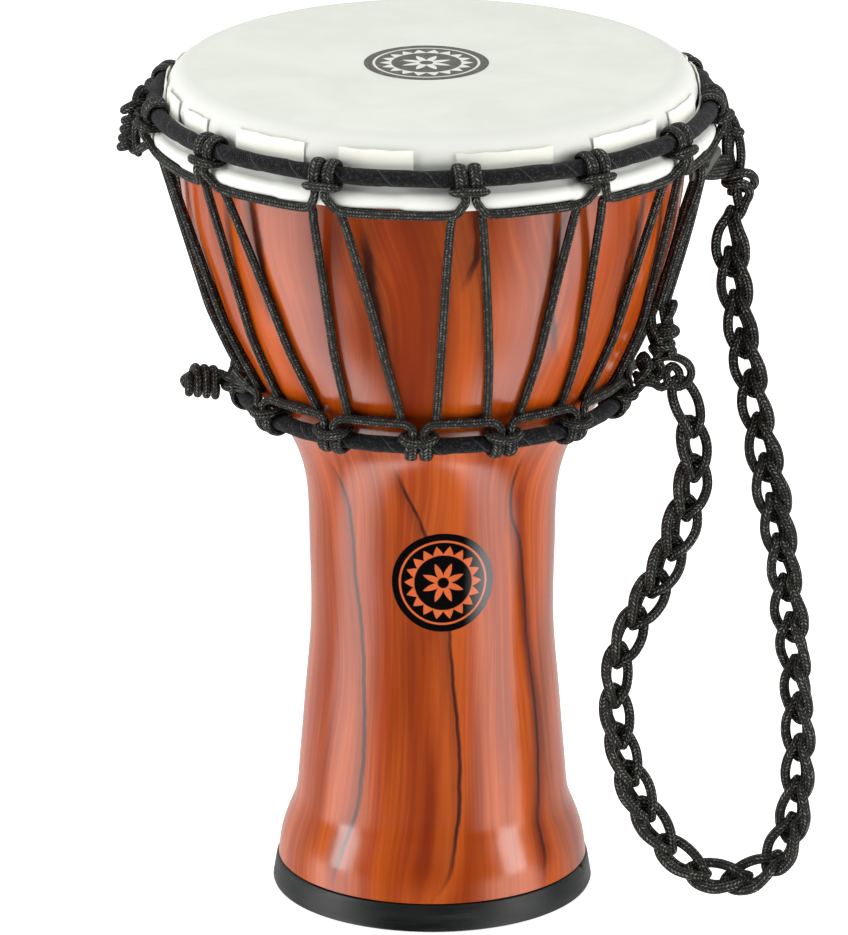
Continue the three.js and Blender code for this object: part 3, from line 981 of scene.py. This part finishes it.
def make_tabs():
    random = np.random.default_rng(4)
    parts = [tab_part(a, b, *random.uniform(-0.5, 0.7, 2)) for a, b in TABS]
    look = film_material("film_edge", (243, 243, 232), (243, 243, 232), 120.0)
    piece("film_cut_edge", parts, look, body="head")


PRINT_RADIUS = 21.0
PRINT_AT = (-2.0, 1.5)


def make_print():
    def place(x, y):
        return np.array((PRINT_AT[0] + x, PRINT_AT[1] + y, HEAD_TOP + 0.05))

    piece("head_print", [disc(PRINT_RADIUS, place)], print_material(), body="head")


def taped_ring(name, ring, node, turns, body):
    """A ring wound in tape: each turn laps the last, so its edge is a step that spirals round."""
    radius, height = ring
    around, section = 420, 24
    rows = []
    for i in range(around):
        angle = 360 * i / around
        row = []
        for j in range(section):
            phi = 2 * math.pi * j / section
            winding = (turns * angle / 360 + j / section) % 1
            lap = 0.26 * (1 - min(1, winding / 0.05)) + 0.26 * max(0, (winding - 0.05) / 0.95)
            lump = 0.05 * sine(angle * 23) + 0.04 * sine(angle * 41)
            rod = TAPE_RADIUS - 0.22 + lap + lump
            row.append(polar(angle, radius + rod * math.cos(phi), height + rod * math.sin(phi)))
        rows.append(row)
    rows.append(rows[0])
    points = np.array(rows)
    across = np.linspace(0, 2 * math.pi * TAPE_RADIUS, section + 1)
    degrees = np.linspace(0, 360 * radius / CROWN[0], around + 1)
    uv = np.stack(np.meshgrid(degrees, across, indexing="ij"), axis=-1)
    piece(name, [welded(points, uv)], TAPE_LOOK, (node,), body=body)


def steel_rings():
    look = steel_material()
    for name in ("flesh_hoop", "crown_ring", "base_ring"):
        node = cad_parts[name]
        node.data.materials.clear()
        node.data.materials.append(look)


make_film()
make_tabs()
make_print()
taped_ring("crown_tape", CROWN, "crown_ring_wrap", 27, "head")
taped_ring("base_tape", BASE, "base_ring_wrap", 18, "drum")
steel_rings()

# ---------------------------------------------------------------- ropes

CROWN_HITCHES = [-79, -51, -22, 7, 34, 59, 85, 113, 141, 169, 197, 225, 253]
BASE_HITCHES = [-84, -57, -30.5, -4, 21, 46, 75, 103, 131, 159, 187, 214, 245]
CROWN_CORNER = 3.3  # degrees from a hitch to the end of its swag
BASE_CORNER = 5.4

# Half of a cow hitch as (sideways, outward, upward) offsets from the ring's centreline. The leg
# rises under the bar, goes round the ring and comes back out to be the bar across both legs.
CROWN_LEG = [(-6.6, 1.3, -12.1), (-4.5, 1.9, -11.2), (-2.9, 3.3, -8.8), (-1.7, 4.7, -6.2)]
BASE_LEG = [(-6.4, 3.2, -8.5), (-4.4, 3.3, -8.3), (-2.7, 3.7, -7.4), (-1.7, 4.5, -5.7)]
TURN_REACH = TAPE_RADIUS + 1.25
TURN_ANGLES = [-40, -5, 30, 66, 102, 138, 172, 205, 238]
BAR = [(-4.3, 1.2, -3.9), (-4.9, 4.0, -3.7), (-3.0, 5.9, -3.0)]
BAR_MIDDLE = (0, 6.7, -2.8)


def half_hitch(leg, upward):
    turns = []
    for i, angle in enumerate(TURN_ANGLES):
        a = math.radians(angle)
        turns.append((-2.35 - 0.016 * i * i, TURN_REACH * math.cos(a), TURN_REACH * math.sin(a)))
    return [(u, n, upward * z) for u, n, z in [*leg, *turns, *BAR]]


def hitch_points(ring, angle, half, upward, tilt):
    """A whole cow hitch; tilt, in degrees, leans it as a hand-tied one does."""
    middle_point = (BAR_MIDDLE[0], BAR_MIDDLE[1], upward * BAR_MIDDLE[2])
    whole = [*half, middle_point, *[(-u, n, z) for u, n, z in reversed(half)]]
    lean = math.tan(math.radians(tilt))
    out = []
    for u, n, z in whole:
        radius = ring[0] + n
        out.append(polar(angle + math.degrees((u + lean * z) / radius), radius, ring[1] + z))
    return out


def cradle_points(ring, hitches, leg, upward, random):
    """A cradle rope: a cow hitch at each angle, with one swag from each hitch to the next."""
    half = half_hitch(leg, upward)
    _, swag_out, swag_up = half[0]

    def swag(angle):
        return polar(angle, ring[0] + swag_out, ring[1] + swag_up)

    closing = (hitches[0] + 360 - hitches[-1]) / 2
    points = [swag(hitches[0] - closing + 3)]
    for i, angle in enumerate(hitches):
        points += hitch_points(ring, angle, half, upward, random.uniform(-5, 5))
        if i + 1 < len(hitches):
            points.append(swag((angle + hitches[i + 1]) / 2))
    points.append(swag(hitches[-1] + closing - 3))
    return points


WRAP_RADIUS = 3.35  # the film's outside, round the hoop
EDGE_FOOT = 275  # above this the film's cut edge stands, as far out as EDGE_RADIUS
EDGE_RADIUS = 90.4


def film_wall(z):
    """The least radius a rope may have beside the film's collar, wrap and cut edge."""
    radius, height = hoop()
    bulge = np.sqrt(np.clip(WRAP_RADIUS**2 - (z - height) ** 2, 0, None))
    wrap = np.where(np.abs(z - height) < WRAP_RADIUS, radius + bulge, 0)
    return np.maximum(wrap, np.where(z < EDGE_FOOT, shell_radius(z) + 0.1, EDGE_RADIUS))


def base_wall(z):
    return shell_radius(z) + 0.1


def make_cradles():
    random = np.random.default_rng(11)
    line = cradle_points(CROWN, CROWN_HITCHES, CROWN_LEG, 1, random)
    rope = strand(line, rings=[CROWN], wall=film_wall, grip=1.25)
    rope_piece("crown_cradle", [rope], "crown_cradle_rope", "head")
    line = cradle_points(BASE, BASE_HITCHES, BASE_LEG, -1, random)
    rope = strand(line, rings=[BASE], wall=base_wall, grip=1.25)
    rope_piece("base_cradle", [rope], "base_cradle_rope", "drum")


def taut(heights, radii):
    """Radii of a rope pulled tight over these radii: the hull of the outline, seen from outside."""
    hull = []
    for z, r in zip(heights, radii):
        while len(hull) > 1:
            (z0, r0), (z1, r1) = hull[-2:]
            if (r1 - r0) * (z - z0) > (r - r0) * (z1 - z0):
                break
            hull.pop()
        hull.append((z, r))
    return np.interp(heights, [z for z, _ in hull], [r for _, r in hull])


CROWN_TURN, BASE_TURN = 264, 191  # heights between which the lacing slants from hitch to hitch


def lacing_points():
    """Down beside each crown hitch, along a base swag, up again, and on to the next hitch."""
    top_run, base_run = (92.6, 266.2), (64.5, 185.6)
    heights = np.linspace(base_run[1], top_run[1], 19)
    radii = [base_run[0], *(shell_radius(heights[1:-1]) + ROPE + 0.1), top_run[0]]
    profile = list(zip(heights, taut(heights, radii)))

    def vertical(top, base):
        """Straight from the crown to where the rope meets the bowl, then lying on the bowl."""
        out = []
        for z, r in profile[-2:1:-1]:
            share = min(max((CROWN_TURN - z) / (CROWN_TURN - BASE_TURN), 0), 1)
            out.append(polar(top + (base - top) * share, r, z))
        return out

    points = []
    count = len(CROWN_HITCHES)
    for i, hitch in enumerate(CROWN_HITCHES):
        next_base = BASE_HITCHES[i + 1] if i + 1 < count else BASE_HITCHES[0] + 360
        down = (hitch - CROWN_CORNER, BASE_HITCHES[i] + BASE_CORNER)
        up = (hitch + CROWN_CORNER, next_base - BASE_CORNER)
        points += [polar(down[0], *top_run), *vertical(*down), polar(down[1] + 0.6, *base_run)]
        points.append(polar((down[1] + up[1]) / 2, *base_run))
        points += [polar(up[1] - 0.6, *base_run), *vertical(*up)[::-1], polar(up[0], *top_run)]
        if i + 1 < count:
            next_down = CROWN_HITCHES[i + 1] - CROWN_CORNER
            points.append(polar((2 * up[0] + next_down) / 3, *top_run))
            points.append(polar((up[0] + 2 * next_down) / 3, *top_run))
    return points


def make_lacing():
    rope = strand(lacing_points(), step=1.0, wall=lambda z: shell_radius(z) + 0.05)
    lacing = rope_piece("lacing", [rope], "lacing_rope")
    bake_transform(lacing)


def make_tail():
    """The lacing's spare end, doubled down the right side from the crown swag to its knots."""
    points = [
        (75.9, -26.2, 213), (82.6, -28.4, 238), (89.2, -30.2, 259.5), (89.6, -29.2, 264.6),
        (91, -27.3, 266.2), (90.9, -25.4, 264), (89.6, -24.9, 258.5), (85.4, -24.1, 240),
        (77.9, -23, 213),
    ]
    tail = rope_piece("lacing_tail", [strand(points)], "lacing_tail_rope")
    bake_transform(tail)


make_cradles()
make_lacing()
make_tail()

# ---------------------------------------------------------------- knots


def coil(centre, axis, radius, turns, pitch, start=0.0, tilt=0.0, per_turn=14):
    """Points of a helix about axis; tilt leans each turn, as rope wound by hand leans."""
    axis = unit(np.array(axis, float))
    seed = np.array((0.0, 0.0, 1.0)) if abs(axis[2]) < 0.9 else np.array((0.0, -1.0, 0.0))
    first = unit(seed - axis * (seed @ axis))
    second = np.cross(axis, first)
    out = []
    count = int(turns * per_turn)
    for i in range(count + 1):
        turn = i / per_turn
        a = math.radians(start) + 2 * math.pi * turn
        along = (turn - turns / 2) * pitch + tilt * radius * math.sin(a)
        out.append(centre + axis * along + radius * (math.cos(a) * first + math.sin(a) * second))
    return out


def make_tie_off():
    """The crown cradle's two ends, bound side by side beside the ring and turned back over it."""
    c = middle("cradle_tie_off_knot")
    binding = coil(c + (0.2, 0, -1.4), (0.16, 0, 1), 2.3, 4.4, 3.1, start=60, tilt=0.40)
    bight = [
        polar(-84, 95.5, 266), c + (1, -0.4, -7.5), c + (0.6, -0.6, 2), c + (2, -1.4, 8),
        c + (3, -1.2, 12), c + (4.3, 0.2, 13.2), c + (5, 1.6, 11), c + (4.2, 2, 6.5),
        c + (2.4, 1.2, 0),
    ]
    beside = [
        polar(-86, 98.2, 276.5), c + (3, -2.2, 5.5), c + (2.2, -3.4, 0.5), c + (2.3, -3.4, -5),
        c + (3.2, -2.8, -9.2),
    ]
    crossing = c + [(-2.6, -2, 6), (0.4, -3.6, 8.2), (3.4, -2.4, 9.4), (4.4, 0.4, 9)]
    parts = [strand(line, radius=LOOSE_ROPE) for line in (binding, bight, beside, crossing)]
    rope_piece("cradle_tie_off", parts, "cradle_tie_off_knot", "head")


def make_end_knot():
    """A barrel of four turns where the lacing ends at the base ring, with its doubled lead."""
    centre = middle("lacing_end_knot")
    barrel = coil(centre, (1, 0, -0.12), 4.4, 3.6, 3.0, start=40, tilt=0.10)
    end = centre + [(-4.6, -1.2, 2.4), (-6.4, 0.4, 0.2), (-5.2, 1.6, -2), (0, 0.6, -0.6)]
    lead = [
        centre + (-1, 0.2, 0.4), centre + (5, -0.6, 0.8), centre + (9.5, -3.6, -0.4),
        centre + (14, -10.5, 0.6), polar(-66, 68.2, 187.8),
    ]
    other = [p + np.array((0.5, -1.4, 2.6)) for p in lead[:-1]] + [polar(-64, 68.6, 189.4)]
    parts = [strand(barrel), strand(end), strand(lead), strand(other)]
    rope_piece("lacing_end_barrel", parts, "lacing_end_knot", "drum")


def make_tail_knots():
    """Two fat half hitches on the doubled tail, with the rope's end standing out."""
    high = np.array((78.6, -25.0, 205.2))
    low = np.array((77.6, -25.0, 199.6))
    lines = [
        coil(high, (0.30, 0, 1), 3.0, 1.6, 2.6, start=200, tilt=0.35),
        coil(low, (-0.20, 0.1, 1), 2.8, 1.5, 2.6, start=20, tilt=-0.25),
        [(77.4, -25.6, 208), (79.2, -27.4, 211.2), (80.6, -27.0, 214.2), (80.9, -26.2, 216.6)],
        [(76.9, -26, 215), (77.8, -25.8, 209.6), high, low, (75.4, -24.4, 194.6),
         (72.6, -23.6, 191)],
        [(78.8, -23.4, 215), (79.2, -24.2, 209.6), high + (1, 0.4, 0), low + (0.6, 1, 0),
         (77.2, -23.6, 195)],
        [(73.4, -24.8, 212), (73.8, -26.4, 207.5), (75.6, -27.4, 204), (76.2, -26.4, 199),
         (74.6, -25.2, 196)],
        [(73.0, -22.6, 210), (73.2, -22.0, 204), (74.8, -21.6, 199.5), (77.2, -22.4, 197.4)],
    ]
    parts = [strand(line, wall=lambda z: shell_radius(z) + 0.1) for line in lines]
    rope_piece("tail_half_hitches", parts, "lacing_tail_knot", "drum")


def make_strap_top():
    """The strap's rope over the crown ring, its two falls, and the overhand knot below them."""
    over_ring = [
        polar(90.4, 89.9, 277.5), polar(90.4, 91.2, 282.2), polar(90.3, 93.8, 283.1),
        polar(90, 96.6, 281.5), polar(89.6, 98, 278.2),
    ]
    near_fall = [
        (99.8, -3.6, 273.6), (101.4, -5.8, 269.4), (101.1, -6.4, 262), (102, -6.2, 257),
        (102.4, -6, 251), (101.2, -6.4, 247),
    ]
    far_fall = [
        (97.8, -2.8, 274.5), (99.6, -7.2, 276.2), (102, -7.8, 273.8), (103.6, -6.6, 269.2),
        (104.6, -6.4, 264.6), (104.9, -6.6, 261), (104.6, -6.4, 257.2), (104.2, -6.2, 252),
    ]
    collar = [
        (99, -5.6, 270.4), (100.2, -8.6, 270.8), (102.6, -9.2, 270.2), (104.4, -7.4, 269.4),
        (103.8, -4.4, 268.8), (100.8, -3.4, 269.4),
    ]
    overhand = [
        (99.8, -5.2, 256.4), (99.4, -7.6, 254.4), (101, -9.8, 255), (104, -10.4, 255.9),
        (107.2, -9.2, 255.6), (109.4, -6.6, 253), (109.2, -4.4, 250), (106.6, -3.4, 248.6),
        (103.2, -3.2, 250), (100.6, -3.8, 252), (99.8, -6.8, 251.6), (101.8, -9.4, 251.6),
        (105, -9.8, 252.2), (107.4, -8.2, 250.4), (107.8, -6.4, 247.2), (106.6, -5.8, 244.4),
        (105.4, -6.4, 241.4), (103.6, -6.8, 238.6),
    ]
    along_swag = [
        (100.4, -7, 257.4), (96.6, -11, 258), (92.8, -17.6, 259.4), (89.4, -23.4, 261),
    ]
    below_swag = [
        (99, -8.4, 255.6), (95.4, -13.4, 256.2), (92.6, -18.6, 257.6), (90.2, -23.2, 259.8),
        (91.6, -21, 262.2), (95.2, -14.6, 262), (98.6, -9.4, 260.6),
    ]
    under_hitch = [
        (96.6, -8.6, 277), (98.6, -9.2, 272), (98.4, -8.6, 266), (98.8, -7.6, 260), (99.8, -6.2, 255),
        (101.4, -6, 250),
    ]
    inward = (-1.4, 0, 0)
    near_fall = np.vstack([over_ring, near_fall + np.array(inward)])
    parts = [strand(near_fall, rings=[CROWN], wall=film_wall)]
    loose = [line + np.array(inward) for line in (far_fall, collar, overhand)]
    loose += [along_swag, below_swag, under_hitch]
    parts += [strand(line, radius=LOOSE_ROPE) for line in loose]
    rope_piece("strap_overhand_knot", parts, "strap_upper_knot", "head")


def make_strap_bottom():
    """The strap's last loops, tangled with the lacing's tail and made fast at the base ring."""
    big_loop = [
        (72.4, -22.4, 190.6), (74.6, -24.6, 194.2), (78, -25.4, 196.2), (82.2, -25.2, 195.8),
        (85.8, -24.6, 193.4), (87, -24.2, 190), (85.6, -24.6, 187), (82.6, -25.8, 185.6),
        (79.4, -26.2, 187.4), (78.6, -25.2, 190.8), (80.6, -23.6, 192.4), (82.8, -23.6, 190.4),
        (83, -24.6, 186.8),
    ]
    low_lead = [
        (66.6, -22.8, 182.6), (68.8, -25.4, 184.6), (71.2, -26.6, 187.4), (74.4, -26.2, 187),
        (77, -26.2, 185.6), (79, -25.6, 187.2), (78, -24, 190.2),
    ]
    tangle = [
        (68.2, -24.6, 186.6), (70.6, -26.2, 190), (72.6, -26.6, 193.4), (71, -25, 196.6),
        (69.6, -23.6, 193.8), (72.2, -24.4, 189.8), (75.4, -25.4, 188.6), (77.2, -25.2, 191.6),
        (75, -24.6, 194.6),
    ]
    behind = [
        (67.6, -21.4, 189.4), (70.6, -22.4, 187.4), (74.2, -23, 189.2), (76.4, -23.4, 192.6),
        (75.2, -24.2, 196.8), (73, -25.2, 200),
    ]
    lines = (big_loop, low_lead, tangle, behind)
    parts = [strand(line, rings=[BASE], wall=base_wall) for line in lines]
    rope_piece("strap_lower_loops", parts, "strap_lower_knot", "drum")


def make_sleeve():
    """The flat grey sleeve on the cradle rope's end, tucked beside the strap."""
    route = [(86, -30.6, 261.6), (89, -27.8, 260.8), (92, -23.6, 262.6), (95.6, -18, 266.2)]
    points = smooth(route, 0.8)
    tangents, _ = transported(points)
    outward = unit(points * (1, 1, 0))
    outward = squared(outward, tangents)
    upward = np.cross(tangents, outward)
    turn = np.linspace(0, 2 * math.pi, 16, endpoint=False)[None, :, None]
    thick = np.sign(np.cos(turn)) * np.abs(np.cos(turn)) ** 0.6
    wide = 2.1 * np.sin(turn)
    rows = points[:, None] + thick * outward[:, None] + wide * upward[:, None]
    uv = np.zeros((len(points), 17, 2))
    parts = [grid(rows, uv, True, ends=(0, len(points) - 1))]
    piece("rope_end_sleeve", parts, sleeve_material(), body="head")


make_tie_off()
make_end_knot()
make_tail_knots()
make_strap_top()
make_strap_bottom()
make_sleeve()

# ---------------------------------------------------------------- stage


def make_floor():
    g = Material("floor", Roughness=0.9, Emission_Strength=0.75)
    g.shader.inputs["Base Color"].default_value = (0.9, 0.9, 0.9, 1)
    g.shader.inputs["Emission Color"].default_value = (1, 1, 1, 1)
    mesh = bpy.data.meshes.new("floor")
    half = 12.0
    level = -0.0002
    corners = [(x * half, y * half, level) for x, y in ((-1, -1), (1, -1), (1, 1), (-1, 1))]
    mesh.from_pydata(corners, [], [(0, 1, 2, 3)])
    mesh.materials.append(g.material)
    floor = bpy.data.objects.new("floor", mesh)
    bpy.context.scene.collection.objects.link(floor)
    floor.visible_glossy = False
    floor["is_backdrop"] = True


def softbox(name, place, target, width, height, power):
    data = bpy.data.lights.new(name, "AREA")
    data.shape = "RECTANGLE"
    data.size = width
    data.size_y = height
    data.energy = power
    light = bpy.data.objects.new(name, data)
    light.location = place
    aim = Vector(target) - Vector(place)
    light.rotation_euler = aim.to_track_quat("-Z", "Y").to_euler()
    bpy.context.scene.collection.objects.link(light)


STRIPS = ((-78, 3.5), (63, 3.3))  # (degrees from the front, glow) of each strip
STRIP_EDGES = (9, 35)  # degrees from a strip's middle where it begins to fade, and where it ends
FRONT_GLOW = 0.03


def make_lights():
    target = (0, 0, 0.16)
    softbox("left_box", (-1.2, -0.40, 0.50), target, 0.42, 1.0, 12.2)
    softbox("right_box", (1.15, -0.55, 0.50), target, 0.42, 1.0, 11.2)
    softbox("top_box", (0, -0.1, 1.3), target, 1.1, 1.1, 4.8)
    bpy.context.scene.world = studio_world()
    bpy.context.scene.view_settings.view_transform = "Standard"


def studio_world():
    """Pale behind and above, dark in front, with an upright strip light low down on each side."""
    world = bpy.data.worlds.new("studio")
    world.use_nodes = True
    g = Graph(world.node_tree)
    x, y, z = g.coordinates("Generated")
    turn = g.math("ARCTAN2", x, y * -1.0)
    strip = 0.0
    for place, brightness in STRIPS:
        away = abs(turn - math.radians(place))
        one = g.range(away, *np.radians(STRIP_EDGES).tolist(), brightness, 0.0)
        strip = g.math("MAXIMUM", one, strip)
    strip = strip * g.range(z, -0.1, 0.1, 1.0, 0.0)
    behind = g.range(y, -0.1, 0.7, FRONT_GLOW, 0.8)
    above = g.range(z, 0.0, 0.9, FRONT_GLOW, 0.45)
    background = g.tree.nodes["Background"]
    background.inputs[0].default_value = (1, 1, 1, 1)
    glow = g.math("MAXIMUM", behind, above)
    g.put(background.inputs[1], g.math("MAXIMUM", glow, strip))
    return world


make_floor()
make_lights()

boxes = {"cad": CAD_BOX, "visual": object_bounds()}
{name: [list(corner) for corner in box] for name, box in boxes.items()}
